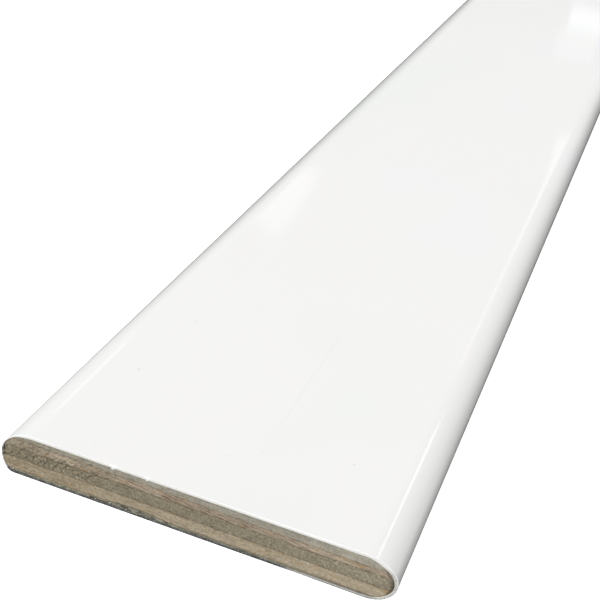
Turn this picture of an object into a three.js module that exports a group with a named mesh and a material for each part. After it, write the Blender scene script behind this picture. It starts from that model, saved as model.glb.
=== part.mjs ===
// Skirting board: plywood with rounded long edges, in a gloss white coat that wraps all round it.
// Units are millimetres and +Z is up. The board lies on its back, as a loose length does.
// X is its width, Y its length and Z its thickness.
// The origin is the middle of the back, which is the face that goes against the wall.
import * as THREE from "three";

// The board
const boardLength = 1000;
const boardWidth = 100;

// The rounded long edges: how far they reach in from the side of the board, on its face and on its back.
// The corner between the back and the left side is the tight one.
const rightEdge = { side: 1, faceReach: 8.5, backReach: 7.5 };
const leftEdge = { side: -1, faceReach: 8.5, backReach: 3.5 };

// The coat and the five plies, from the back of the board to its face
const coatThickness = 0.8;
const backVeneerThickness = 0.9;
const lowerCrossbandThickness = 3.1;
const coreVeneerThickness = 3.0;
const upperCrossbandThickness = 1.85;
const faceVeneerThickness = 1.55;

// The finest step of a rounded edge, in degrees of its arc
const edgeStep = 6;

const finishes = {
  white_gloss_coat: { color: 0xf4f4f2, roughness: 0.12 },
  face_veneer: { color: 0x928b7e, roughness: 0.85 },
  upper_crossband: { color: 0x937f69, roughness: 0.85 },
  core_veneer: { color: 0x827966, roughness: 0.9 },
  lower_crossband: { color: 0x9f8d74, roughness: 0.85 },
  back_veneer: { color: 0x8a8474, roughness: 0.85 },
};

const plies = [
  { name: "back_veneer", thickness: backVeneerThickness },
  { name: "lower_crossband", thickness: lowerCrossbandThickness },
  { name: "core_veneer", thickness: coreVeneerThickness },
  { name: "upper_crossband", thickness: upperCrossbandThickness },
  { name: "face_veneer", thickness: faceVeneerThickness },
];

// The section of the board
const woodThickness = plies.reduce((sum, ply) => sum + ply.thickness, 0);
const boardThickness = woodThickness + 2 * coatThickness;
const middleHeight = boardThickness / 2;

// Angle on the wood's rounded edges at a height, from -90 degrees at the back to 90 at the face
function woodAngle(height) {
  const share = (height - middleHeight) / (woodThickness / 2);
  return Math.asin(THREE.MathUtils.clamp(share, -1, 1));
}

// A point of a rounded edge, at a depth below the outside. Each corner is a quarter of an ellipse.
function edgePoint(edge, depth, angle) {
  const reach = angle < 0 ? edge.backReach : edge.faceReach;
  const fromMiddle = boardWidth / 2 - reach + (reach - depth) * Math.cos(angle);
  return new THREE.Vector2(edge.side * fromMiddle, middleHeight + (middleHeight - depth) * Math.sin(angle));
}

// Points up an edge between two angles, both ends included
function edgePoints(edge, depth, fromAngle, toAngle) {
  const steps = Math.max(1, Math.ceil((toAngle - fromAngle) / THREE.MathUtils.degToRad(edgeStep)));
  const points = [];
  for (let i = 0; i <= steps; i += 1) {
    points.push(edgePoint(edge, depth, fromAngle + ((toAngle - fromAngle) * i) / steps));
  }
  return points;
}

// A closed outline of the section between two angles: up its right edge and down its left
function outline(depth, fromAngle, toAngle) {
  const leftSide = edgePoints(leftEdge, depth, fromAngle, toAngle);
  return [...edgePoints(rightEdge, depth, fromAngle, toAngle), ...leftSide.reverse()];
}

// A section, drawn with its height as Y, run along the length of the board
function boardPiece(name, outside, inside = null) {
  const shape = new THREE.Shape(outside);
  if (inside) {
    shape.holes.push(new THREE.Path(inside));
  }
  const geometry = new THREE.ExtrudeGeometry(shape, { depth: boardLength, bevelEnabled: false });
  const layDown = new THREE.Matrix4().makeBasis(
    new THREE.Vector3(1, 0, 0),
    new THREE.Vector3(0, 0, 1),
    new THREE.Vector3(0, -1, 0),
  );
  geometry.applyMatrix4(layDown);
  geometry.translate(0, boardLength / 2, 0);
  const mesh = new THREE.Mesh(geometry, new THREE.MeshStandardMaterial({ ...finishes[name], metalness: 0 }));
  mesh.name = name;
  return mesh;
}

// The angles between the plies on the wood's edges, from the back of the wood to its face
const borders = [-Math.PI / 2];
let height = coatThickness;
for (const ply of plies) {
  height += ply.thickness;
  borders.push(woodAngle(height));
}

// The coat meets every ply along the same points, so it has no gap to them
function whiteCoat() {
  const rightSide = [edgePoint(rightEdge, coatThickness, borders[0])];
  const leftSide = [edgePoint(leftEdge, coatThickness, borders[0])];
  for (let i = 0; i < plies.length; i += 1) {
    rightSide.push(...edgePoints(rightEdge, coatThickness, borders[i], borders[i + 1]).slice(1));
    leftSide.push(...edgePoints(leftEdge, coatThickness, borders[i], borders[i + 1]).slice(1));
  }
  const outside = outline(0, -Math.PI / 2, Math.PI / 2);
  return boardPiece("white_gloss_coat", outside, [...rightSide, ...leftSide.reverse()]);
}

const skirtingBoard = new THREE.Group();
skirtingBoard.name = "skirting_board";
skirtingBoard.add(whiteCoat());
plies.forEach((ply, i) => {
  skirtingBoard.add(boardPiece(ply.name, outline(coatThickness, borders[i], borders[i + 1])));
});

export default skirtingBoard;
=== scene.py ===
"""Skirting board: five-ply board with rounded long edges in a gloss white coat.

The board lies on its back on a pale floor and is seen from above its near end, as in the photograph.
Sizes are in millimetres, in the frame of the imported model, and become metres when a mesh is made.
X is the width, Y the length (the near end is at -Y) and Z the thickness.
A range is a pair of values, from where a change starts to where it is full. It may run up or down.
"""

import math

import bpy
import numpy as np
from mathutils import Matrix, Quaternion, Vector


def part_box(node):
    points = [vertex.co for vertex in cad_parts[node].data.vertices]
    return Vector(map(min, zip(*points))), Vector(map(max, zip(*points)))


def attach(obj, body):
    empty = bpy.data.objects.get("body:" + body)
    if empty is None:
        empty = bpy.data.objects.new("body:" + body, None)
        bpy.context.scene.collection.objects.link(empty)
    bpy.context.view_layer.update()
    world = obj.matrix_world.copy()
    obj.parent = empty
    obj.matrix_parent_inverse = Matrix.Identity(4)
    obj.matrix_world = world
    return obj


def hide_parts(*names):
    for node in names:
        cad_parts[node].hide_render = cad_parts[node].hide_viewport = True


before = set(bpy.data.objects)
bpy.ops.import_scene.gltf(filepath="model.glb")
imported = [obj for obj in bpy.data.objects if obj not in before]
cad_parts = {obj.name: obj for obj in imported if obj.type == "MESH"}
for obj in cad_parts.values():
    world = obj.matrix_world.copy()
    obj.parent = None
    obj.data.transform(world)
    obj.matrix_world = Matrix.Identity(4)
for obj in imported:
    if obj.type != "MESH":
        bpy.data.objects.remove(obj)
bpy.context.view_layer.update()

MM = 0.001


def node_box(name):
    low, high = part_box(name)
    return np.array(low) / MM, np.array(high) / MM


# The plies from the back of the board to its face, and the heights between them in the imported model
PLIES = ["back_veneer", "lower_crossband", "core_veneer", "upper_crossband", "face_veneer"]
PLY_HEIGHTS = [float(node_box(name)[0][2]) for name in PLIES] + [float(node_box(PLIES[-1])[1][2])]

# Sizes of the board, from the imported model
BOARD_LOW, BOARD_HIGH = node_box("white_gloss_coat")
WIDTH, LENGTH, THICKNESS = (float(size) for size in BOARD_HIGH - BOARD_LOW)
COAT = PLY_HEIGHTS[0]
MIDDLE = THICKNESS / 2
HALF_LENGTH = LENGTH / 2
LEFT, RIGHT = -1, 1
NEAR, FAR = -1, 1

# How far each rounded corner of the section reaches in, at the face and at the back
FACE_REACH = 8.5
BACK_REACH = {RIGHT: 7.5, LEFT: 3.5}

# The coat is as packed on the face. It is thicker at the right corner of the face by THICK_CORNER, and
# thins out towards the left edge. At the back it goes from thin on the left to BACK_COAT on the right.
# BACK_TO_SIDE holds the heights over which the thickness at the back turns into that of the side.
THICK_CORNER = 0.35
THICK_CORNER_X, THICK_CORNER_REACH = 47, 3
THICK_CORNER_HEIGHTS = (5, 8)
THIN_COAT = 0.3
THINNING = (43.0, 47.5)
BACK_COAT = 0.6
BACK_THICKENING = (8, 34)
BACK_TO_SIDE = (2.5, MIDDLE)

# Fineness of the meshes
EDGE_STEPS = 48
FLAT_STEP = 0.4
LENGTH_STEP = 10.0
PLY_CELL = 0.13


# Patterns

def lattice_noise(x, y, seed):
    """Smooth noise from 0 to 1 with one wave to each unit of x and y."""
    size = 256
    table = np.random.default_rng(seed).random((size, size))
    x0, y0 = np.floor(x).astype(int), np.floor(y).astype(int)
    fx, fy = x - x0, y - y0
    fx, fy = fx * fx * (3 - 2 * fx), fy * fy * (3 - 2 * fy)
    x1, y1 = (x0 + 1) % size, (y0 + 1) % size
    x0, y0 = x0 % size, y0 % size
    low = table[x0, y0] * (1 - fx) + table[x1, y0] * fx
    high = table[x0, y1] * (1 - fx) + table[x1, y1] * fx
    return low * (1 - fy) + high * fy


def fractal(x, y, seed, octaves=4, gain=0.5):
    """Sum of finer and finer noise, from 0 to 1."""
    total, weight, reached = 0.0, 1.0, 0.0
    for octave in range(octaves):
        shift = 17.3 * octave
        total = total + weight * lattice_noise(x * 2**octave + shift, y * 2**octave + shift, seed + octave)
        reached += weight
        weight *= gain
    return total / reached


def smooth(value, low, high):
    """0 up to low and 1 from high on, with a smooth change between. Low may be the larger of the two."""
    share = np.clip((value - low) / (high - low), 0, 1)
    return share * share * (3 - 2 * share)


def mound(value, centre, reach):
    """1 at the centre, falling off on both sides."""
    return np.exp(-((value - centre) / reach) ** 2)


# Section of the board

# A place round the board is a column of four numbers: the x of its corner's centre, its side (0 on the
# flats), its reach and its angle, from -90 degrees at the back to 90 at the face

def section_points(depth, places):
    """Points of the section at a depth below the outer surface, for places round the board."""
    centre, side, reach, angle = places
    x = centre + side * (reach - depth) * np.cos(angle)
    z = MIDDLE + (MIDDLE - depth) * np.sin(angle)
    return x, z


def edge_places(side, steps):
    """Places up one long edge, from the back to the face."""
    angle = np.linspace(-math.pi / 2, math.pi / 2, steps + 1)
    reach = np.where(angle < 0, BACK_REACH[side], FACE_REACH)
    return np.array([side * (WIDTH / 2 - reach), np.full(len(angle), side), reach, angle])


def flat_places(start, stop, angle):
    """Places between the rounded edges, without the first and the last."""
    steps = int(round(abs(stop - start) / FLAT_STEP))
    across = np.linspace(start, stop, steps + 1)[1:-1]
    return np.array([across, 0 * across, 0 * across, 0 * across + angle])


def perimeter():
    """Places all round: up the right edge, over the face, down the left edge and along the back."""
    right, left = edge_places(RIGHT, EDGE_STEPS), edge_places(LEFT, EDGE_STEPS)
    face = flat_places(right[0, -1], left[0, -1], math.pi / 2)
    back = flat_places(left[0, 0], right[0, 0], -math.pi / 2)
    return np.concatenate([right, face, left[:, ::-1], back], axis=1)


def back_coat(x):
    return THIN_COAT + (BACK_COAT - THIN_COAT) * smooth(x, *BACK_THICKENING)


def coat_depth(x, z):
    """Thickness of the coat where its outer surface is at x, z."""
    corner = THICK_CORNER * mound(x, THICK_CORNER_X, THICK_CORNER_REACH) * smooth(z, *THICK_CORNER_HEIGHTS)
    edge = COAT + (THIN_COAT - COAT) * smooth(-x, *THINNING) + corner
    return back_coat(x) + (edge - back_coat(x)) * smooth(z, *BACK_TO_SIDE)


def wood_side(side):
    """Outline of the wood on one long edge, from its back up to its face."""
    places = edge_places(side, 2 * EDGE_STEPS)
    return section_points(coat_depth(*section_points(0, places)), places)


LEFT_SIDE, RIGHT_SIDE = wood_side(LEFT), wood_side(RIGHT)

# Borders between plies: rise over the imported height, fall towards the right end and height of the waves
BORDER_SHAPES = ((-0.45, 0.1, 0.15), (-0.45, 0.25, 0.12), (-0.3, 0.15, 0.28), (-0.2, 0.6, 0.25))
BORDER_REACH = WIDTH / 2 - 2
BORDER_WAVES, BORDER_SHIFT = 5, 7
BORDER_SEED = 70

# Jags of the same four borders where the saw tore the wood: their heights and how many there are
JAG_HEIGHTS = (0.0, 0.1, 1.1, 0.5)
JAGS = 22
JAG_SEED = 80

# A swell of the lowest border: x, reach and height
BACK_SWELL = (-13.0, 6.0, 0.75)

# How far to the left of the middle the saw tore the near end: range of the torn shape
TORN_SHAPE = (12, 28)


def torn_share(x):
    """1 at the left of the near end, where the saw tore the wood, and 0 from the middle on."""
    return smooth(-x, *TORN_SHAPE)


def border_height(number, share):
    """Height of a border between plies at a share of the half width. The outer two follow the coat."""
    x = share * BORDER_REACH
    if number == 0:
        return back_coat(x)
    if number == len(PLIES):
        return np.full(share.shape, THICKNESS - COAT)
    rise, fall, wave = BORDER_SHAPES[number - 1]
    row = np.full(share.shape, number + 0.5)
    ripple = fractal(share * BORDER_WAVES + BORDER_SHIFT * number, row, BORDER_SEED + number, 5, 0.55) - 0.5
    height = PLY_HEIGHTS[number] + rise - fall * share + 2 * wave * ripple
    jag = fractal(share * JAGS, row, JAG_SEED + number, 4, 0.6) - 0.5
    height = height + JAG_HEIGHTS[number - 1] * jag * torn_share(x)
    if number == 1:
        centre, reach, swell = BACK_SWELL
        height = height + swell * mound(x, centre, reach)
    return height


def wood_limits(z):
    """The x of the left and of the right side of the wood at a height."""
    return np.interp(z, LEFT_SIDE[1], LEFT_SIDE[0]), np.interp(z, RIGHT_SIDE[1], RIGHT_SIDE[0])


def rim_distance(x, z):
    """How far a point of the wood lies in from the coat."""
    left, right = wood_limits(z)
    flat = np.minimum(THICKNESS - COAT - z, z - back_coat(x))
    return np.minimum(flat, np.minimum(x - left, right - x))


# Meshes

def make_piece(name, points_mm, faces, node, material, smooth_faces=True):
    mesh = bpy.data.meshes.new(name)
    mesh.from_pydata((np.asarray(points_mm) * MM).tolist(), [], faces)
    mesh.update()
    if smooth_faces:
        mesh.polygons.foreach_set("use_smooth", np.ones(len(mesh.polygons), bool))
    piece = bpy.data.objects.new(name, mesh)
    bpy.context.scene.collection.objects.link(piece)
    mesh.materials.append(material)
    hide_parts(node)
    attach(piece, "root")
    return piece


def add_bake_map(piece, corners):
    """A map for baked colours: a place from 0 to 1 for each corner of each face."""
    made = piece.data.uv_layers.new(name="OFBake")
    made.data.foreach_set("uv", np.asarray(corners, np.float32).ravel())


def add_values(piece, name, values):
    """A number or a vector for each point of the piece, which its material reads."""
    values = np.asarray(values, np.float32)
    kind, key = ("FLOAT", "value") if values.ndim == 1 else ("FLOAT_VECTOR", "vector")
    made = piece.data.attributes.new(name, kind, "POINT")
    made.data.foreach_set(key, values.ravel())


# Materials

def colour(red, green, blue):
    """A colour given as it shows on a screen, from 0 to 255."""
    def linear(level):
        share = level / 255
        return share / 12.92 if share <= 0.04045 else ((share + 0.055) / 1.055) ** 2.4
    return (linear(red), linear(green), linear(blue), 1.0)


class Nodes:
    """The nodes of a material or of the world. Each call adds one node and gives back its output."""

    def __init__(self, tree):
        self.tree = tree

    def node(self, kind, **settings):
        made = self.tree.nodes.new(kind)
        for name, value in settings.items():
            setattr(made, name, value)
        return made

    def put(self, socket, value):
        if isinstance(value, bpy.types.NodeSocket):
            self.tree.links.new(value, socket)
        else:
            socket.default_value = value

    def place(self):
        """Position on the board in millimetres."""
        return self.scaled(self.node("ShaderNodeTexCoord").outputs["Object"], (1 / MM, 1 / MM, 1 / MM))

    def attribute(self, name, output="Fac"):
        return self.node("ShaderNodeAttribute", attribute_name=name).outputs[output]

    def scaled(self, vector, scale, shift=(0, 0, 0), turn=0):
        """A position turned about its third axis and then scaled, for stretched patterns."""
        if turn:
            turned = self.node("ShaderNodeMapping")
            self.put(turned.inputs["Vector"], vector)
            turned.inputs["Rotation"].default_value = (0, 0, math.radians(turn))
            vector = turned.outputs["Vector"]
        node = self.node("ShaderNodeMapping")
        self.put(node.inputs["Vector"], vector)
        node.inputs["Scale"].default_value = scale
        node.inputs["Location"].default_value = shift
        return node.outputs["Vector"]

    def noise(self, vector, detail=3.0, rough=0.5):
        node = self.node("ShaderNodeTexNoise")
        self.put(node.inputs["Vector"], vector)
        node.inputs["Scale"].default_value = 1
        node.inputs["Detail"].default_value = detail
        node.inputs["Roughness"].default_value = rough
        return node.outputs["Fac"]

    def even_noise(self, place, waves, detail, rough=0.5):
        """Noise with as many waves to a millimetre along all three axes."""
        return self.noise(self.scaled(place, (waves, waves, waves)), detail, rough)

    def axis(self, vector, name):
        node = self.node("ShaderNodeSeparateXYZ")
        self.put(node.inputs["Vector"], vector)
        return node.outputs[name]

    def distance(self, vector, point):
        node = self.node("ShaderNodeVectorMath", operation="DISTANCE")
        self.put(node.inputs[0], vector)
        node.inputs[1].default_value = point
        return node.outputs["Value"]

    def maths(self, operation, *values):
        node = self.node("ShaderNodeMath", operation=operation)
        for socket, value in zip(node.inputs, values):
            self.put(socket, value)
        return node.outputs[0]

    def between(self, value, low, high, to_low=0.0, to_high=1.0):
        """A value from low to high, brought to another range along a smooth curve."""
        node = self.node("ShaderNodeMapRange", interpolation_type="SMOOTHSTEP")
        limits = (low, high, to_low, to_high)
        if low > high:
            limits = (high, low, to_high, to_low)
        for name, number in zip(("Value", "From Min", "From Max", "To Min", "To Max"), (value, *limits)):
            self.put(node.inputs[name], number)
        return node.outputs["Result"]

    def mix(self, share, first, second):
        node = self.node("ShaderNodeMixRGB")
        for socket, value in zip(node.inputs, (share, first, second)):
            self.put(socket, value)
        return node.outputs[0]

    def ramp(self, value, stops):
        """Tones, as they show on a screen, at places from 0 to 1."""
        node = self.node("ShaderNodeValToRGB")
        elements = node.color_ramp.elements
        while len(elements) < len(stops):
            elements.new(0.5)
        for element, (position, tone) in zip(elements, stops):
            element.position = position
            element.color = colour(*tone)
        self.put(node.inputs["Fac"], value)
        return node.outputs["Color"]

    def bump(self, height, distance):
        node = self.node("ShaderNodeBump")
        self.put(node.inputs["Height"], height)
        node.inputs["Distance"].default_value = distance
        return node.outputs["Normal"]


class Finish(Nodes):
    """A material with one shader."""

    def __init__(self, name):
        self.material = bpy.data.materials.new(name)
        self.material.use_nodes = True
        super().__init__(self.material.node_tree)
        self.tree.nodes.clear()
        self.shader = self.node("ShaderNodeBsdfPrincipled")
        self.put(self.node("ShaderNodeOutputMaterial").inputs["Surface"], self.shader.outputs["BSDF"])

    def surface(self, **inputs):
        for name, value in inputs.items():
            self.put(self.shader.inputs[name.replace("_", " ")], value)


# The finish of the coat

# Tones of the clean coat, which drift over centimetres along each axis
COAT_TONES = ((0.3, (238, 240, 238)), (0.5, (241, 240, 239)), (0.7, (240, 240, 240)))
COAT_DRIFT = (0.018, 0.012, 0.018)

# Dust under the gloss on the face: x, y, radius and strength. A speck is solid to a share of its radius.
SPECKS = ((-33.9, -459.0, 0.5, 0.35), (-31.1, -427.7, 0.4, 0.3), (0.6, -482.2, 0.45, 0.17),
          (7.8, -476.3, 0.35, 0.22), (29.2, -469.2, 0.5, 0.2), (-28.7, -493.9, 0.3, 0.25))
SPECK_SOLID = 0.4
SPECK_TONE = colour(178, 178, 174)

# A hairline scratch that wanders along the face and fades at both ends. The range is of its half width.
SCRATCH_X, SCRATCH_WANDER, SCRATCH_WAVES = 7.35, 1.6, 0.05
SCRATCH_Y, SCRATCH_FADE = (-466.0, -410.0), 6
SCRATCH_WIDTH = (0.16, 0.04)
SCRATCH_STRENGTH = 0.11
SCRATCH_TONE = colour(176, 164, 148)

# The sawn coat: a plain light tone at the face, which gives way to darker, mottled tones lower down, over a
# range of heights
CRUMB_WAVES = 2.2
CRUMB_TONES = ((0.3, (168, 164, 158)), (0.5, (196, 194, 190)), (0.65, (216, 215, 212)))
PLAIN_CUT_HEIGHTS = (10.6, 8.5)
PLAIN_CUT_TONE = colour(238, 236, 232)

# Dirt and painted contact shadow on the coat, a little thinner over the crumbs
DIRT_AND_SHADOW_TONE = colour(24, 29, 30)
DIRT_AND_SHADOW_CRUMBS = (0.62, 0.45)
DIRT_AND_SHADOW_LEAST = 0.8

# Gloss: roughness over the ripples of the lacquer, what sawing and the dirt and painted shadow add to it, and
# the shine
RIPPLE_WAVES, RIPPLE_DEPTH = 0.4, 0.003
RIPPLE_RANGE = (0.3, 0.7)
GLOSS_ROUGHNESS = (0.05, 0.075)
CUT_ROUGHNESS, DIRT_AND_SHADOW_ROUGHNESS = 0.5, 0.5
SHINE, DIRT_AND_SHADOW_SHINE = 0.5, -0.4
COAT_IOR = 1.5


def scratch_share(finish, place, x, y, z):
    """1 along the scratch and 0 beside it."""
    wander = finish.noise(finish.scaled(place, (0, SCRATCH_WAVES, 0)), detail=2)
    middle = finish.maths("MULTIPLY_ADD", wander, SCRATCH_WANDER, SCRATCH_X - SCRATCH_WANDER / 2)
    line = finish.between(finish.maths("ABSOLUTE", finish.maths("SUBTRACT", x, middle)), *SCRATCH_WIDTH)
    start, stop = SCRATCH_Y
    limits = ((y, start, start + SCRATCH_FADE), (y, stop, stop - SCRATCH_FADE), (z, MIDDLE, THICKNESS - 1))
    for limit in limits:
        line = finish.maths("MULTIPLY", line, finish.between(*limit))
    return line


def coat_material():
    finish = Finish("gloss_white_lacquer")
    place = finish.place()
    x, y, z = (finish.axis(place, name) for name in "XYZ")
    body = finish.ramp(finish.noise(finish.scaled(place, COAT_DRIFT), detail=2), COAT_TONES)
    for speck_x, speck_y, radius, strength in SPECKS:
        away = finish.distance(place, (speck_x, speck_y, THICKNESS))
        body = finish.mix(finish.between(away, radius, SPECK_SOLID * radius, 0, strength), body, SPECK_TONE)
    scratch = finish.maths("MULTIPLY", scratch_share(finish, place, x, y, z), SCRATCH_STRENGTH)
    body = finish.mix(scratch, body, SCRATCH_TONE)
    cut = finish.attribute("cut")
    crumb = finish.even_noise(place, CRUMB_WAVES, 4, 0.6)
    crumbly = finish.between(z, *PLAIN_CUT_HEIGHTS)
    cut_tone = finish.mix(crumbly, PLAIN_CUT_TONE, finish.ramp(crumb, CRUMB_TONES))
    body = finish.mix(cut, body, cut_tone)
    # The dark rim of the near end is partly dirt and partly painted contact shadow, with painted shade of
    # gaps on the left
    clinging = finish.between(crumb, *DIRT_AND_SHADOW_CRUMBS, DIRT_AND_SHADOW_LEAST, 1)
    dirt_and_shadow = finish.maths("MULTIPLY", finish.attribute("dirt_and_shadow"), clinging)
    body = finish.mix(dirt_and_shadow, body, DIRT_AND_SHADOW_TONE)
    ripple = finish.even_noise(place, RIPPLE_WAVES, 1)
    gloss = finish.between(ripple, *RIPPLE_RANGE, *GLOSS_ROUGHNESS)
    rough = finish.maths("MULTIPLY_ADD", cut, CUT_ROUGHNESS, gloss)
    rough = finish.maths("MULTIPLY_ADD", dirt_and_shadow, DIRT_AND_SHADOW_ROUGHNESS, rough)
    shine = finish.maths("MULTIPLY_ADD", dirt_and_shadow, DIRT_AND_SHADOW_SHINE, SHINE)
    finish.surface(Base_Color=body, Roughness=rough, Specular_IOR_Level=shine, IOR=COAT_IOR,
                   Normal=finish.bump(ripple, RIPPLE_DEPTH * MM))
    return finish.material


# The finish of the wood

# Patterns of the sawn wood, as waves to a millimetre across and up, and along the board
LONG_STREAKS, SHORT_STREAKS = (0.10, 2.6), (0.45, 6.0)
BROAD_SHADES, OCHRE_PATCHES = (0.22, 0.5), (0.3, 1.2)
SCRAPS, SPLINTERS = (0.5, 0.8), (0.9, 3.6)
WAVES_ALONG = 0.1

# Degrees that the scraps and the splinters of the torn wood are turned
SCRAP_TURN, SPLINTER_TURN = -35, 40

# The share of the broad shades, and where each ply gets lighter or darker to the left and to the right
BROAD_SHARE = 0.6
SHADED = ((-8, -42), (5, 46))

# Where the finish is torn, as a range of x
TORN_FINISH = (-14, -30)

# Ranges of the patterns that show, with the strength of the light splinters
PATCH_RANGE = (0.52, 0.68)
SCRAP_RANGE = (0.44, 0.6)
SPLINTER_RANGE, SPLINTER_STRENGTH = (0.54, 0.66), 0.9

# Glue between the plies, and painted shade on the wood against the coat: distance over which they show
GLUE_RANGE, GLUE_WOBBLE = (0.34, 0.02), 0.7
RIM_SHADE_RANGE, RIM_SHADE_STRENGTH = (0.3, 0.0), 0.25

# Tones of what is on the wood. The marks are values of each point, laid over one another in this order.
PATCH_TONE = colour(172, 146, 104)
SPLINTER_TONE = colour(192, 179, 156)
GLUE_TONE = colour(92, 76, 56)
RIM_SHADE_TONE = colour(96, 88, 84)
# The stain tone also paints shade into the near end's tears, strokes and gaps, and shadow along its lower rim
MARK_TONES = {"ochre": colour(158, 126, 80), "brown": colour(92, 72, 60), "stain_and_shade": colour(36, 34, 30)}

WOOD_ROUGHNESS = 0.85
GRAIN_DEPTH = 0.06

# The plies from the face to the back. Stops are the tones from the dark streaks to the light ones, streak
# and grit the shares of the streaks and of rough end grain, and slope is the streaks' turn in degrees.
# Ochre, glue and torn_most are the most that shows of each, and shades are added at the far left and right.
OLIVE, TAN = colour(138, 131, 112), colour(146, 131, 106)
WOODS = {
    "face_veneer": dict(
        stops=((0.2, (122, 114, 102)), (0.5, (148, 142, 129)), (0.8, (172, 166, 152))),
        streak=0.5, slope=4, grit=0.9, grit_waves=(1.3, 1.5),
        ochre=0.15, glue=0.1, torn_tone=OLIVE, torn_most=0.6, shades=(-0.02, 0.13),
    ),
    "upper_crossband": dict(
        stops=((0.15, (100, 82, 66)), (0.4, (139, 124, 106)), (0.6, (158, 143, 125)), (0.9, (198, 182, 160))),
        streak=1.4, slope=7, grit=0.7, grit_waves=(1.2, 1.7),
        ochre=0.35, glue=0.45, torn_tone=OLIVE, torn_most=0.6, shades=(0.02, 0.08),
    ),
    "core_veneer": dict(
        stops=((0.1, (84, 77, 60)), (0.4, (122, 114, 95)), (0.65, (140, 132, 112)), (0.9, (170, 162, 142))),
        streak=0.15, slope=50, grit=1.5, grit_waves=(1.6, 1.5),
        ochre=0.1, glue=0.6, torn_tone=TAN, torn_most=0.4, shades=(-0.17, 0.12),
    ),
    "lower_crossband": dict(
        stops=((0.15, (122, 106, 84)), (0.45, (152, 139, 118)),
               (0.6, (164, 151, 130)), (0.9, (190, 176, 154))),
        streak=0.7, slope=3, grit=1.2, grit_waves=(1.3, 1.7),
        ochre=0.45, glue=0.45, torn_tone=TAN, torn_most=0.3, shades=(-0.15, 0.11),
    ),
    "back_veneer": dict(
        stops=((0.2, (96, 95, 84)), (0.5, (127, 124, 109)), (0.8, (160, 156, 142))),
        streak=0.8, slope=4, grit=1.0, grit_waves=(1.4, 1.8),
        ochre=0.1, glue=0.3, torn_tone=OLIVE, torn_most=0.3, shades=(-0.06, 0.13),
    ),
}


def wood_material(name, stops, streak, slope, grit, grit_waves, ochre, glue, torn_tone, torn_most, shades):
    """Sawn wood, with streaks across the board and rough end grain."""
    finish = Finish(name)
    grain = finish.attribute("grain", "Vector")
    x = finish.axis(grain, "X")

    def pattern(waves, shift=(0, 0), turn=0, detail=3, rough=0.6):
        return finish.noise(finish.scaled(grain, (*waves, WAVES_ALONG), (*shift, 0), turn), detail, rough)

    grains = pattern(grit_waves, (8, 1), detail=4, rough=0.65)
    layers = ((pattern(LONG_STREAKS, turn=slope, detail=4), streak),
              (pattern(SHORT_STREAKS, (3, 5), slope), streak),
              (grains, grit),
              (pattern(BROAD_SHADES, (1, 9), rough=0.5), BROAD_SHARE))
    tone = 0.5
    for layer, share in layers:
        tone = finish.maths("MULTIPLY_ADD", finish.maths("SUBTRACT", layer, 0.5), share, tone)
    for across, shade in zip(SHADED, shades):
        tone = finish.maths("ADD", tone, finish.between(x, *across, 0, shade))
    body = finish.ramp(tone, stops)
    patch = pattern(OCHRE_PATCHES, (4, 4))
    body = finish.mix(finish.between(patch, *PATCH_RANGE, 0, ochre), body, PATCH_TONE)
    near = finish.between(finish.axis(grain, "Z"), 1, -1)
    torn = finish.maths("MULTIPLY", near, finish.between(x, *TORN_FINISH))
    scrap = pattern(SCRAPS, (6, 2), SCRAP_TURN, 4, 0.65)
    torn_wood = finish.maths("MULTIPLY", torn, finish.between(scrap, *SCRAP_RANGE, 0, torn_most))
    body = finish.mix(torn_wood, body, torn_tone)
    splinter = pattern(SPLINTERS, (2, 7), SPLINTER_TURN, rough=0.7)
    light = finish.maths("MULTIPLY", torn, finish.between(splinter, *SPLINTER_RANGE, 0, SPLINTER_STRENGTH))
    body = finish.mix(light, body, SPLINTER_TONE)
    wobble = finish.maths("SUBTRACT", grains, 0.5)
    for edge in ("above", "below"):
        away = finish.maths("MULTIPLY_ADD", wobble, GLUE_WOBBLE, finish.attribute(edge))
        body = finish.mix(finish.between(away, *GLUE_RANGE, 0, glue), body, GLUE_TONE)
    # Painted shade of the wood along the coat's edge
    rim = finish.between(finish.attribute("rim"), *RIM_SHADE_RANGE, 0, RIM_SHADE_STRENGTH)
    body = finish.mix(rim, body, RIM_SHADE_TONE)
    for mark, mark_tone in MARK_TONES.items():
        body = finish.mix(finish.attribute(mark), body, mark_tone)
    finish.surface(Base_Color=body, Roughness=WOOD_ROUGHNESS, Normal=finish.bump(grains, GRAIN_DEPTH * MM))
    return finish.material


# The coat

# Rounding of the coat at the sawn ends, the share of it where it is sharpest, the ranges where it widens to
# the right and to the left, how far behind it the coat is straight again, and the loops it is made of
ARRIS = 0.17
SHARPEST = 0.3
WIDER_RIGHT, WIDER_LEFT = (-4, 18), (36, 42)
BEHIND_ARRIS = 0.05
ARRIS_LOOPS = 6

# Unevenness of the rounding: least share, what the pattern adds, size of the pattern and its seed
UNEVEN_LEAST, UNEVEN_MORE = 0.8, 0.7
UNEVEN_SIZE, UNEVEN_SHIFT = 1.7, 9
UNEVEN_SEED = 40

# What is taken from the rounding at the right and below the face and added along the back, with the ranges
NARROWER_RIGHT, NARROWER_RIGHT_X = 0.7, (30, 44)
NARROWER_BELOW, NARROWER_HEIGHTS = 0.45, (10.5, 8)
WIDER_BACK, WIDER_BACK_HEIGHTS = 0.2, (1, 0)

# The most that the rounding takes of the coat's thickness
ARRIS_MOST = 0.75

# Two chips in the near end's upper rim, as x and depth
CHIPS = ((-20.8, 0.7), (-12.1, 0.45))
CHIP_REACH = 0.6

# Sawn surface of the coat: loops as shares of its thickness, height and size of its relief, and how far
# behind the end the hidden inner surface starts
CUT_SHARES = (0.3, 0.65, 1.0)
CUT_RELIEF, CUT_GRAIN, CUT_SHIFT = 0.07, 0.8, 5
CUT_SEED = 50
INNER_START = 1.2

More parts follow.
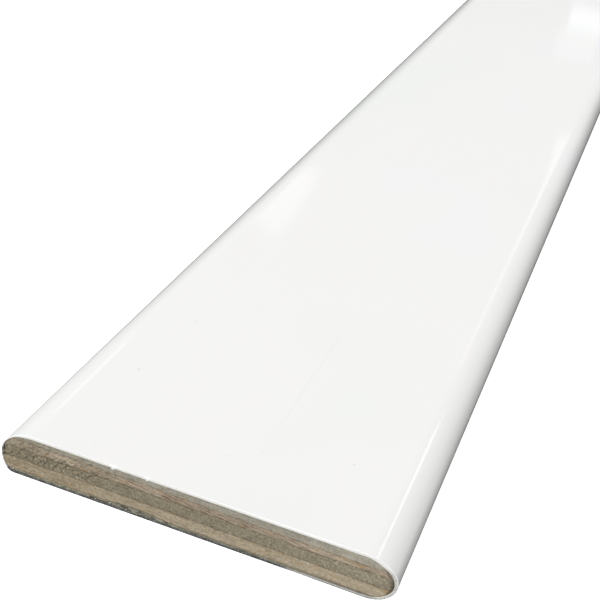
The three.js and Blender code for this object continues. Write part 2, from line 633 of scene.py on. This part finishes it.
# Loops along the board: the last one's distance from the end, and the next ones' distances from that
LAST_LOOP = 0.8
NEXT_LOOPS = (1.5, 6)

# Slow waves of the lacquer: height, size across and along, how many times as fast they change with the
# height as across, and how far from the last loop they start
WAVE_HEIGHT = 0.03
WAVE_ACROSS, WAVE_ALONG, WAVE_UP = 34, 55, 3
WAVE_START = (0, 12)
WAVE_SEED = 60


def end_loops(side, x, z, depth):
    """Loops of one end, from the outer surface round the arris and over the sawn surface to the inside."""
    wide = np.maximum(smooth(x, *WIDER_RIGHT), smooth(-x, *WIDER_LEFT))
    uneven = fractal(x / UNEVEN_SIZE, z / UNEVEN_SIZE + UNEVEN_SHIFT * side, UNEVEN_SEED)
    arris = ARRIS * (SHARPEST + (1 - SHARPEST) * wide) * (UNEVEN_LEAST + UNEVEN_MORE * uneven)
    for chip_x, size in CHIPS:
        if side == NEAR:
            arris = arris + size * mound(x, chip_x, CHIP_REACH) * smooth(z, THICKNESS - 1, THICKNESS)
    arris = arris * (1 - NARROWER_RIGHT * smooth(x, *NARROWER_RIGHT_X))
    arris = arris * (1 - NARROWER_BELOW * smooth(z, *NARROWER_HEIGHTS))
    arris = arris + WIDER_BACK * smooth(z, *WIDER_BACK_HEIGHTS)
    arris = np.minimum(arris, ARRIS_MOST * depth)
    loops = [(0 * arris, arris + BEHIND_ARRIS, 0.0)]
    for turn in np.linspace(0, math.pi / 2, ARRIS_LOOPS):
        loops.append((arris * (1 - math.cos(turn)), arris * (1 - math.sin(turn)), 0.0))
    for share in CUT_SHARES:
        grain = fractal(x / CUT_GRAIN + CUT_SHIFT * share, z / CUT_GRAIN + CUT_SHIFT * side, CUT_SEED, 3)
        loops.append((arris + (depth - arris) * share, CUT_RELIEF * grain * share, 1.0))
    loops.append((depth, np.full(len(x), INNER_START), 1.0))
    return [(deep, side * (HALF_LENGTH - inset), cut) for deep, inset, cut in loops]


def coat_loops():
    """Loops of the sleeve: depth below the outer surface, place along the board and share of sawn surface."""
    places = perimeter()
    x, z = section_points(0, places)
    depth = coat_depth(x, z)
    edge = HALF_LENGTH - LAST_LOOP
    second, third = NEXT_LOOPS
    stations = np.linspace(-edge + third, edge - third, int(LENGTH / LENGTH_STEP))
    body = []
    for y in np.concatenate([[-edge, -edge + second], stations, [edge - second, edge]]):
        row = np.full(len(x), y / WAVE_ALONG)
        wave = WAVE_HEIGHT * fractal((x + WAVE_UP * z) / WAVE_ACROSS, row, WAVE_SEED, 2)
        body.append((wave * smooth(edge - abs(y), *WAVE_START), np.full(len(x), y), 0.0))
    near, far = end_loops(NEAR, x, z, depth), end_loops(FAR, x, z, depth)
    return places, list(reversed(near)) + body + far


# Dirt and painted contact shadow on the rim of the near end, over a range of insets from it. Under the board
# it is thick on the left and thinner on the right, and stops short of both sides. On the left side it is
# painted shade of two gaps between the coat and the wood, as height and reach.
UNDER_HEIGHTS = (1.3, 0.8)
UNDER_THIN, UNDER_THICK_X = 0.35, (28, 21)
UNDER_LEFT_STOP, UNDER_RIGHT_STOP = (50, 48.8), (49, 45)
LEFT_GAP_SHADE_X, LEFT_GAP_SHADE = (49.2, 49.6), 0.8
LEFT_GAP_LUMPS = ((5.9, 0.5), (4.5, 0.35))
RIM_DIRT_AND_SHADOW_INSET = (0.9, 0.4)

# The thin dark line on the right of the lower rim, a painted contact shadow: how far in it lies, its heights
# and its start
SHADOW_LINE_INSET = (0.35, 0.1)
SHADOW_LINE_HEIGHTS = (7, 5)
SHADOW_LINE_X, SHADOW_LINE_STRENGTH = (20, 34), 0.95


def from_end(y, inset):
    """0 further in than the first inset from the near end, and 1 between the second inset and the end."""
    first, full = inset
    return smooth(-y, HALF_LENGTH - first, HALF_LENGTH - full)


def near_end_dirt_and_shadow(x, y, z, cut):
    """Dirt and painted contact shadow on the lower rim of the near end, thick on the left and a thin line of
    painted shadow on the right, with painted shade of gaps on the left side.
    """
    under = smooth(z, *UNDER_HEIGHTS) * (UNDER_THIN + (1 - UNDER_THIN) * smooth(x, *UNDER_THICK_X))
    under = under * smooth(-x, *UNDER_LEFT_STOP) * smooth(x, *UNDER_RIGHT_STOP)
    lumps = np.maximum(*(mound(z, height, reach) for height, reach in LEFT_GAP_LUMPS))
    left = LEFT_GAP_SHADE * (smooth(-x, *LEFT_GAP_SHADE_X) * lumps)
    rim = np.maximum(under, left) * from_end(y, RIM_DIRT_AND_SHADOW_INSET)
    # Painted contact shadow line along the lower right of the coat's rim
    line = (1 - cut) * from_end(y, SHADOW_LINE_INSET) * smooth(z, *SHADOW_LINE_HEIGHTS) * smooth(x, *SHADOW_LINE_X)
    return np.maximum(rim, SHADOW_LINE_STRENGTH * line)


# Torn flecks of the coat that hang over the near end: x, z, width and height
FLECKS = ((-20.9, 11.05, 1.0, 0.5), (-12.1, 11.1, 0.55, 0.4), (-46.6, 1.25, 0.35, 0.2),
          (-20.7, 1.15, 0.35, 0.25), (-16.4, 0.9, 0.3, 0.2), (-24.6, 0.8, 0.25, 0.2))
FLECK_SIDES = 9
FLECK_LEAST, FLECK_RAGGED = 0.6, 0.8
FLECK_INSETS = (0.02, 0.2)
FLECK_CUT = 0.3
FLECK_SEED = 90


def fleck_mesh(first, centre_x, centre_z, width, height):
    """A thin torn flake, as points and faces numbered from first."""
    sides = FLECK_SIDES
    turn = np.linspace(0, 2 * math.pi, sides, endpoint=False)
    ragged = lattice_noise(turn * 2 + centre_x, np.full(sides, centre_z), FLECK_SEED)
    reach = FLECK_LEAST + FLECK_RAGGED * ragged
    x = centre_x + 0.5 * width * reach * np.cos(turn)
    z = centre_z + 0.5 * height * reach * np.sin(turn)
    points = [np.column_stack([x, np.full(sides, -HALF_LENGTH + inset), z]) for inset in FLECK_INSETS]
    faces = [[first + i for i in reversed(range(sides))], [first + sides + i for i in range(sides)]]
    for i in range(sides):
        j = (i + 1) % sides
        faces.append([first + i, first + j, first + sides + j, first + sides + i])
    return np.concatenate(points), faces


def white_coat():
    places, loops = coat_loops()
    spots = places.shape[1]
    points, cut = [], []
    for depth, y, sawn in loops:
        x, z = section_points(depth, places)
        points.append(np.column_stack([x, y, z]))
        cut.append(np.full(spots, sawn))
    faces = []
    for i in range(len(loops)):
        here, there = i * spots, ((i + 1) % len(loops)) * spots
        for j in range(spots):
            k = (j + 1) % spots
            faces.append((here + j, there + j, there + k, here + k))
    sleeve_points = len(loops) * spots
    total = sleeve_points
    for fleck in FLECKS:
        made, around = fleck_mesh(total, *fleck)
        points.append(made)
        cut.append(np.full(len(made), FLECK_CUT))
        faces += around
        total += len(made)
    points, cut = np.concatenate(points), np.concatenate(cut)
    # Darkening of the near end's rim: partly dirt, partly painted contact shadow and painted shade of gaps
    dirt_and_shadow = near_end_dirt_and_shadow(*points.T, cut)
    dirt_and_shadow[sleeve_points:] = 0
    piece = make_piece("white_gloss_lacquer", points, faces, "white_gloss_coat", coat_material())
    add_values(piece, "cut", cut)
    add_values(piece, "dirt_and_shadow", dirt_and_shadow)


# The plies

# Tears in the sawn end, as lines through points x, z with a half width and a strength; they are sunk and
# darkened with painted shade. Each starts at the first share of its half width and is full at the second.
TEARS = (
    (((-36.0, 4.9), (-35.6, 6.0), (-34.6, 7.1), (-33.3, 8.2), (-32.5, 7.5)), 0.18, 0.42),
    (((-29.6, 5.4), (-28.6, 6.3), (-28.0, 7.6)), 0.16, 0.3),
    (((-26.9, 6.4), (-25.4, 7.0), (-24.5, 7.9)), 0.18, 0.35),
    (((-44.4, 7.0), (-43.6, 8.2), (-42.2, 8.9)), 0.14, 0.3),
    (((-40.6, 8.9), (-40.0, 9.7), (-38.9, 10.3)), 0.14, 0.25),
    (((-22.0, 7.5), (-20.5, 8.3), (-19.9, 9.3)), 0.13, 0.25),
)
TEAR_EDGE = (1.8, 0.4)

# Roughness that the marks of the near end follow: size, and how far it shifts them
MARK_GRAIN, MARK_WANDER = 1.2, 0.9
MARK_SEED = 91

# The brown seam along the right rim: width, what it swells by, the heights where it may swell, its place
# across and the heights where it starts and stops. Along the lower rim it goes on as a thin line.
SEAM_WIDTH, SEAM_SWELL = 0.8, 1.1
SEAM_GRAIN, SEAM_SEED = 1.1, 95
SWELL_RANGE, SWELL_HEIGHTS = (0.3, 0.7), (3, 5)
SEAM_EDGE = 0.6
SEAM_X = (45, 47)
SEAM_BOTTOM, SEAM_TOP = (2.2, 3.4), (10, 9)
SEAM_LEAST, SEAM_ROUGH = 0.1, 1.4
SEAM_STRENGTH, LOW_SEAM_STRENGTH = 0.75, 0.6
LOW_SEAM_INSET, LOW_SEAM_HALF_WIDTH = 0.3, (0.25, 0.08)
LOW_SEAM_X, LOW_SEAM_HEIGHTS = (24, 34), (5, 3)

# The dark core of the seam, painted shade in the gap between the wood and the coat
CORE_WANDER, CORE_RANGE, SEAM_CORE_SHADE_STRENGTH = 0.6, (0.75, 0.35), 0.6

# Painted shade of two gaps against the left rim: distance in from the rim and x, and each lump's height and
# reach
LEFT_RIM, LEFT_RIM_X = (0.9, 0.3), (48.3, 48.9)
LEFT_GAP_SHADE_LUMPS = ((6.2, 0.7), (4.6, 0.45))
LEFT_GAP_SHADE_STRENGTH = 0.95

# Slanting dark strokes of the torn wood, sunk and darkened with painted shade: slant, size across and along,
# range of the pattern and heights
STROKE_SLANT, STROKE_SIZE = (0.9, 0.6), (0.55, 2.0)
STROKE_RANGE, STROKE_SEED = (0.58, 0.72), 92
STROKE_BOTTOM, STROKE_TOP = (4.4, 5.0), (10.6, 9.6)
STROKE_SHADE_STRENGTH = 0.35

# Dirt and painted contact shadow in from the lower rim: blotches as far as the patches reach, deepest between
# two ranges of x, over a line along the rim. Both stop short of the right and of the left end.
PATCH_SIZE, PATCHES_RANGE, PATCH_SEED = (1.6, 0.6), (0.44, 0.66), 93
BLOTCH_LEAST, BLOTCH_MORE = 0.3, 1.1
BLOTCH_RIGHT, BLOTCH_LEFT = (2, 6), (27, 22)
BLOTCH_EDGE, BLOTCH_HEIGHTS, BLOTCH_STRENGTH = (0.25, 0.0), (2.6, 1.8), 0.6
RIM_LINE, RIM_LINE_HEIGHTS = (0.28, 0.13), (2.0, 1.4)
DIRT_AND_SHADOW_RIGHT_STOP, DIRT_AND_SHADOW_LEFT_STOP = (27, 21), (49, 47.6)
DIRT_AND_SHADOW_STRENGTH = 0.95


def line_distance(x, z, points):
    """Distance from each place to a line through points."""
    nearest = np.full(x.shape, np.inf)
    for (x0, z0), (x1, z1) in zip(points, points[1:]):
        along = ((x - x0) * (x1 - x0) + (z - z0) * (z1 - z0)) / ((x1 - x0) ** 2 + (z1 - z0) ** 2)
        along = np.clip(along, 0, 1)
        nearest = np.minimum(nearest, np.hypot(x - x0 - along * (x1 - x0), z - z0 - along * (z1 - z0)))
    return nearest


def right_seam(x, z, rim, rough):
    """The ragged brown seam along the right rim."""
    swell = smooth(fractal(z / SEAM_GRAIN, x / SEAM_GRAIN, SEAM_SEED, 3), *SWELL_RANGE)
    width = SEAM_WIDTH + SEAM_SWELL * swell * smooth(z, *SWELL_HEIGHTS)
    seam = smooth(rim, width, SEAM_EDGE * width) * smooth(x, *SEAM_X)
    return seam * smooth(z, *SEAM_BOTTOM) * smooth(z, *SEAM_TOP) * (SEAM_LEAST + SEAM_ROUGH * rough)


def torn_strokes(x, z):
    """Slanting dark strokes of the torn wood, in painted shade."""
    across, along = STROKE_SIZE
    slant_x, slant_z = STROKE_SLANT
    torn = fractal((x - slant_x * z) / across, (z + slant_z * x) / along, STROKE_SEED, 3)
    return smooth(torn, *STROKE_RANGE) * torn_share(x) * smooth(z, *STROKE_BOTTOM) * smooth(z, *STROKE_TOP)


def lower_dirt_and_shadow(x, z, rim):
    """Blotches and a line of dirt and painted contact shadow in from the lower rim."""
    size_x, size_z = PATCH_SIZE
    patches = smooth(fractal(x / size_x, z / size_z, PATCH_SEED, 4, 0.6), *PATCHES_RANGE)
    reach = BLOTCH_LEAST + BLOTCH_MORE * smooth(-x, *BLOTCH_RIGHT) * smooth(-x, *BLOTCH_LEFT)
    blotches = smooth(rim - reach * patches, *BLOTCH_EDGE) * smooth(z, *BLOTCH_HEIGHTS)
    line = smooth(rim, *RIM_LINE) * smooth(z, *RIM_LINE_HEIGHTS)
    dirt_and_shadow = np.maximum(BLOTCH_STRENGTH * blotches, line)
    return dirt_and_shadow * smooth(x, *DIRT_AND_SHADOW_RIGHT_STOP) * smooth(-x, *DIRT_AND_SHADOW_LEFT_STOP)


def end_features(x, z):
    """Marks of the near end, from 0 to 1: dark tears, strokes and gaps in painted shade, dirt and painted
    shadow along the lower rim, and the brown seam at the right rim.
    """
    rim = rim_distance(x, z)
    rough = fractal(x / MARK_GRAIN, z / MARK_GRAIN, MARK_SEED, 4, 0.6)
    wander = MARK_WANDER * (rough - 0.5)
    seam = right_seam(x, z, rim, rough)
    low_seam = smooth(abs(rim - LOW_SEAM_INSET), *LOW_SEAM_HALF_WIDTH)
    low_seam = low_seam * smooth(x, *LOW_SEAM_X) * smooth(z, *LOW_SEAM_HEIGHTS)
    core = smooth(rim + CORE_WANDER * wander, *CORE_RANGE) * seam
    # Painted shade of the gaps between the wood and the coat at the left rim
    lumps = np.maximum(*(mound(z, height, reach) for height, reach in LEFT_GAP_SHADE_LUMPS))
    left = smooth(rim, *LEFT_RIM) * smooth(-x, *LEFT_RIM_X) * lumps
    marks = [SEAM_CORE_SHADE_STRENGTH * core, LEFT_GAP_SHADE_STRENGTH * left, STROKE_SHADE_STRENGTH * torn_strokes(x, z),
             DIRT_AND_SHADOW_STRENGTH * lower_dirt_and_shadow(x, z, rim)]
    start, full = TEAR_EDGE
    for points, half_width, strength in TEARS:
        away = line_distance(x + wander, z + wander, points)
        marks.append(strength * smooth(away, start * half_width, full * half_width))
    brown = np.maximum(SEAM_STRENGTH * seam, LOW_SEAM_STRENGTH * low_seam)
    return np.clip(np.max(marks, axis=0), 0, 1), np.clip(brown, 0, 1)


# Orange-brown spots of the sawn end: x, z, half width, half height and strength
OCHRE_SPOTS = (
    (-38.2, 8.6, 1.0, 0.3, 0.4), (-28.6, 7.9, 1.8, 0.25, 0.6), (-25.0, 8.9, 1.2, 0.25, 0.5),
    (-17.5, 8.3, 2.0, 0.2, 0.35), (17.5, 2.7, 1.3, 0.22, 0.5), (21.9, 3.8, 1.6, 0.22, 0.5),
    (27.2, 2.9, 1.1, 0.2, 0.55), (31.0, 3.9, 1.2, 0.2, 0.4), (40.9, 8.2, 1.2, 0.3, 0.7),
    (36.5, 8.6, 1.5, 0.2, 0.4), (47.6, 3.6, 0.9, 0.35, 0.7), (-6.0, 8.5, 2.2, 0.2, 0.3),
)
SPOT_EDGE, SPOT_RAGGED = (1.5, 0.3), 0.9
SPOT_GRAIN = (0.8, 0.35)
SPOT_SEED = 97


def ochre_marks(x, z):
    """The orange-brown spots of the near end, with ragged edges, from 0 to 1."""
    across, up = SPOT_GRAIN
    ragged = SPOT_RAGGED * (fractal(x / across, z / up, SPOT_SEED, 3) - 0.5)
    marks = np.zeros(x.shape)
    for spot_x, spot_z, half_width, half_height, strength in OCHRE_SPOTS:
        away = np.hypot((x - spot_x) / half_width, (z - spot_z) / half_height) + ragged
        marks = np.maximum(marks, strength * smooth(away, *SPOT_EDGE))
    return marks


# Relief of the sawn wood. Crossbands have long grooves and the other plies rough end grain, both with pits:
# size across and up, seed, octaves and gain of each pattern, range of the pits, and the depth of both.
LEAST_DEPTH = 0.10
CROSSBAND_RELIEF = dict(grain=(9, 0.22, 11, 4, 0.5), grain_depth=0.10,
                        pits=(2.5, 0.3, 23, 3, 0.5), pit_range=(0.62, 0.78), pit_depth=0.10)
END_GRAIN_RELIEF = dict(grain=(0.9, 0.9, 31, 4, 0.6), grain_depth=0.14,
                        pits=(0.8, 0.9, 37, 4, 0.6), pit_range=(0.6, 0.76), pit_depth=0.12)

# How deep the marks of the near end are
MARK_DEPTH = 0.3


def relief_pattern(x, z, across, up, seed, octaves, gain):
    return fractal(x / across, z / up, seed, octaves, gain)


def saw_relief(name, x, z):
    """How far the cut wood lies behind the end plane."""
    relief = CROSSBAND_RELIEF if "crossband" in name else END_GRAIN_RELIEF
    across, up, seed, octaves, gain = relief["grain"]
    grain = relief_pattern(x, z, across, up, seed + len(name), octaves, gain)
    pits = smooth(relief_pattern(x, z, *relief["pits"]), *relief["pit_range"])
    return LEAST_DEPTH + relief["grain_depth"] * grain + relief["pit_depth"] * pits


# Heights in a ply's bake map: the near end below, the far end above and the hidden sides in between
MAP_NEAR = (0.01, 0.485)
MAP_SIDES = (0.495, 0.505)
MAP_FAR = (0.515, 0.99)


def ply_bake_map(share, part, near, far, side_count):
    across = (share.ravel() + 1) / 2
    up = part.ravel()
    near_map = np.column_stack([across, MAP_NEAR[0] + (MAP_NEAR[1] - MAP_NEAR[0]) * up])
    far_map = np.column_stack([across, MAP_FAR[0] + (MAP_FAR[1] - MAP_FAR[0]) * up])
    places = np.concatenate([near_map, far_map])
    start = np.arange(side_count) / side_count
    stop = start + 1 / side_count
    low, high = np.full(side_count, MAP_SIDES[0]), np.full(side_count, MAP_SIDES[1])
    sides = np.column_stack([start, low, start, high, stop, high, stop, low])
    return np.concatenate([places[near.ravel()], places[far.ravel()], sides.reshape(-1, 2)])


def ply_faces(index):
    """Faces of the near end, of the far end and round the sides, and how many go round."""
    a, b, c, d = index[:-1, :-1], index[:-1, 1:], index[1:, 1:], index[1:, :-1]
    near = np.stack([a, b, c, d], -1).reshape(-1, 4)
    far = np.stack([a, d, c, b], -1).reshape(-1, 4) + index.size
    around = np.concatenate([index[0, :-1], index[:-1, -1], index[-1, :0:-1], index[:0:-1, 0]])
    following = np.roll(around, -1)
    sides = np.stack([around, around + index.size, following + index.size, following], -1)
    return near, far, sides


def ply(number, name, material):
    bottom, top = PLY_HEIGHTS[number], PLY_HEIGHTS[number + 1]
    columns = int(WIDTH / PLY_CELL)
    rows = max(4, int((top - bottom) / PLY_CELL))
    share, part = np.meshgrid(np.linspace(-1, 1, columns + 1), np.linspace(0, 1, rows + 1))
    low, high = border_height(number, share), border_height(number + 1, share)
    z = low + (high - low) * part
    left, right = wood_limits(z)
    x = left + (right - left) * (share + 1) / 2
    straight = bottom + part * (top - bottom)
    none = np.zeros(x.shape)
    # The dark marks are painted shade in tears, strokes and gaps, and dirt and painted shadow along the lower
    # rim
    dark, seam = end_features(x, z)
    marks = {"stain_and_shade": (dark, none), "brown": (seam, none), "ochre": (ochre_marks(x, z), none)}
    points, grain = [], []
    for side, stain_and_shade in zip((NEAR, FAR), marks["stain_and_shade"]):
        inset = saw_relief(name, x + WIDTH * side, z) + MARK_DEPTH * stain_and_shade
        points.append(np.column_stack([x.ravel(), (side * (HALF_LENGTH - inset)).ravel(), z.ravel()]))
        grain.append(np.column_stack([x.ravel(), straight.ravel(), np.full(x.size, side * HALF_LENGTH)]))
    near, far, sides = ply_faces(np.arange(share.size).reshape(share.shape))
    faces = np.concatenate([near, far, sides]).tolist()
    piece = make_piece(name + "_wood", np.concatenate(points), faces, name, material, smooth_faces=False)
    add_values(piece, "grain", np.concatenate(grain))
    for mark, ends in marks.items():
        add_values(piece, mark, np.concatenate(ends).ravel())
    glued_below, glued_above = number > 0, number < len(PLIES) - 1
    unglued = np.ones(z.shape)
    add_values(piece, "below", np.tile((z - low if glued_below else unglued).ravel(), 2))
    add_values(piece, "above", np.tile((high - z if glued_above else unglued).ravel(), 2))
    add_values(piece, "rim", np.tile(rim_distance(x, z).ravel(), 2))
    add_bake_map(piece, ply_bake_map(share, part, near, far, len(sides)))


def plies():
    finishes = {name: wood_material(name + "_grain", **wood) for name, wood in WOODS.items()}
    for number, name in enumerate(PLIES):
        ply(number, name, finishes[name])


# The studio

# The floor and the walls behind it reach this far, in metres
FLOOR_REACH = 12.0
FLOOR_TONES = (colour(247, 247, 246), colour(250, 250, 249))
FLOOR_WAVES, FLOOR_RANGE = 0.06, (0.3, 0.7)
FLOOR_ROUGHNESS, FLOOR_SHINE, FLOOR_GLOW = 0.9, 0.1, 0.65
WHITE = (1, 1, 1, 1)


def pale_finish():
    finish = Finish("pale_floor")
    speckle = finish.even_noise(finish.place(), FLOOR_WAVES, 2)
    body = finish.mix(finish.between(speckle, *FLOOR_RANGE), *FLOOR_TONES)
    finish.surface(Base_Color=body, Roughness=FLOOR_ROUGHNESS, Specular_IOR_Level=FLOOR_SHINE,
                   Emission_Color=WHITE, Emission_Strength=FLOOR_GLOW)
    return finish.material


def stage_piece(name, points, faces, material):
    mesh = bpy.data.meshes.new(name)
    mesh.from_pydata(points, [], faces)
    mesh.materials.append(material)
    made = bpy.data.objects.new(name, mesh)
    made.visible_glossy = False
    made.visible_diffuse = False
    bpy.context.scene.collection.objects.link(made)
    return made


def floor_and_backdrop():
    """A pale floor, with pale walls far out that stand behind the board in views from low down."""
    pale = pale_finish()
    corners = [(-1, -1), (1, -1), (1, 1), (-1, 1)]
    low = [(FLOOR_REACH * x, FLOOR_REACH * y, 0) for x, y in corners]
    high = [(x, y, FLOOR_REACH) for x, y, _ in low]
    stage_piece("floor", low, [(0, 1, 2, 3)], pale)
    walls = [(i, (i + 1) % 4, (i + 1) % 4 + 4, i + 4) for i in range(4)]
    backdrop = stage_piece("backdrop", low + high, walls, pale)
    backdrop.visible_shadow = False


# The lights. Each is seen from a point of the board at an azimuth, in degrees to the right of the length, and
# at an elevation. Far and size are in metres, and lean turns the light to the right about its middle.
# Radiance is what it adds to the gloss.
LIGHTS = (
    dict(name="front", seen_from=(0, -500, 6), azimuth=-170, elevation=23, far=8,
         size=(4.6, 4.0), radiance=7.2),
    dict(name="right_strip", seen_from=(44, -460, 12), azimuth=10.7, elevation=35.7, far=3.6,
         size=(0.22, 0.56), radiance=1.9, lean=32),
    dict(name="right_far_strip", seen_from=(43, -270, 12), azimuth=-1.8, elevation=24.6, far=3.2,
         size=(0.2, 0.75), radiance=0.45),
    dict(name="left_strip", seen_from=(-43, -470, 12), azimuth=-31, elevation=27.3, far=3.2,
         size=(0.24, 0.28), radiance=0.75, lean=-54),
    dict(name="left_window", seen_from=(-38, -311, 12), azimuth=-16.7, elevation=23.3, far=2.9,
         size=(0.155, 0.2), radiance=0.45, lean=-26),
    dict(name="far_window", seen_from=(20, 30, 12), azimuth=-3.6, elevation=13.2, far=2.9,
         size=(0.11, 0.06), radiance=0.5, tint=(0.92, 0.97, 1.0)),
    dict(name="far_window_below", seen_from=(20, -30, 12), azimuth=-3.9, elevation=14.3, far=2.9,
         size=(0.11, 0.08), radiance=0.16, tint=(0.9, 1.0, 0.97)),
)


def area_light(name, seen_from, azimuth, elevation, far, size, radiance, tint=(1, 1, 1), lean=0):
    data = bpy.data.lights.new(name, "AREA")
    data.shape = "RECTANGLE"
    data.size, data.size_y = size
    data.energy = radiance * math.pi * size[0] * size[1]
    data.color = tint
    around, rise = math.radians(azimuth), math.radians(elevation)
    way = Vector((math.sin(around) * math.cos(rise), math.cos(around) * math.cos(rise), math.sin(rise)))
    light = bpy.data.objects.new(name, data)
    light.location = Vector(seen_from) * MM + way * far
    turn = (-way).to_track_quat("-Z", "Y") @ Quaternion((0, 0, 1), math.radians(lean))
    light.rotation_euler = turn.to_euler()
    light.visible_camera = False
    bpy.context.scene.collection.objects.link(light)


# Brightness of the studio all round: bright above, dimmer to the right of the board, and dark below.
# On both sides of the board the dark reaches higher. The ranges are of directions, from -1 to 1.
SKY_BRIGHTNESS = 0.89
RIGHT_SHADE = 0.2
RIGHT_SIDE_OF_SKY = (0.05, 0.4)
HORIZON = (-0.17, 0.28)
SIDE_RISE = 0.12
SIDES = (0.12, 0.3)
GROUND_BRIGHTNESS = 0.02
GROUND_TONE = (0.93, 1.0, 0.93, 1.0)
EVERYWHERE = (-1.2, -1.1)

# Brighter parts of the ground: brightness, range to the right and range upwards
GROUND_PARTS = (
    (0.12, EVERYWHERE, (-0.3, -0.75)),
    (0.8, (-0.24, -0.38), (-0.41, -0.48)),
    (0.6, (-0.5, -0.64), EVERYWHERE),
    (0.65, (0.5, 0.62), (-0.2, -0.08)),
)


def sky():
    world = bpy.data.worlds.new("studio")
    bpy.context.scene.world = world
    world.use_nodes = True
    nodes = Nodes(world.node_tree)
    direction = nodes.node("ShaderNodeTexCoord").outputs["Generated"]
    right, up = nodes.axis(direction, "X"), nodes.axis(direction, "Z")
    ground = GROUND_BRIGHTNESS
    for brightness, across, upwards in GROUND_PARTS:
        part = nodes.between(right, *across, 0, brightness)
        part = nodes.maths("MULTIPLY", part, nodes.between(up, *upwards))
        ground = nodes.maths("MAXIMUM", ground, part)
    rise = nodes.between(nodes.maths("ABSOLUTE", right), *SIDES, 0, SIDE_RISE)
    above = nodes.between(nodes.maths("SUBTRACT", up, rise), *HORIZON)
    shade = nodes.between(right, *RIGHT_SIDE_OF_SKY, SKY_BRIGHTNESS, (1 - RIGHT_SHADE) * SKY_BRIGHTNESS)
    low = nodes.maths("MULTIPLY", ground, nodes.maths("SUBTRACT", 1, above))
    background = world.node_tree.nodes["Background"]
    nodes.put(background.inputs["Color"], nodes.mix(above, GROUND_TONE, WHITE))
    nodes.put(background.inputs["Strength"], nodes.maths("MULTIPLY_ADD", above, shade, low))


def studio():
    sky()
    for light in LIGHTS:
        area_light(**light)
    bpy.context.scene.view_settings.view_transform = "Standard"


# The camera's place and aim, in millimetres, fitted to the board's edges and cut end in the photograph
CAMERA_PLACE = (71.87, -717.0, 188.1)
CAMERA_AIM = (-9.95, -397.48, 12.0)
CAMERA_ROLL = 10.083
CAMERA_LENS = 74.59
CAMERA_SENSOR = 36.0
CAMERA_CLIP = (0.01, 100)


def camera():
    data = bpy.data.cameras.new("camera")
    data.lens, data.sensor_width = CAMERA_LENS, CAMERA_SENSOR
    data.clip_start, data.clip_end = CAMERA_CLIP
    made = bpy.data.objects.new("camera", data)
    place, aim = Vector(CAMERA_PLACE) * MM, Vector(CAMERA_AIM) * MM
    turn = (aim - place).to_track_quat("-Z", "Y").to_matrix().to_4x4()
    made.matrix_world = Matrix.Translation(place) @ turn @ Matrix.Rotation(math.radians(CAMERA_ROLL), 4, "Z")
    bpy.context.scene.collection.objects.link(made)
    bpy.context.scene.camera = made


white_coat()
plies()
floor_and_backdrop()
studio()
camera()
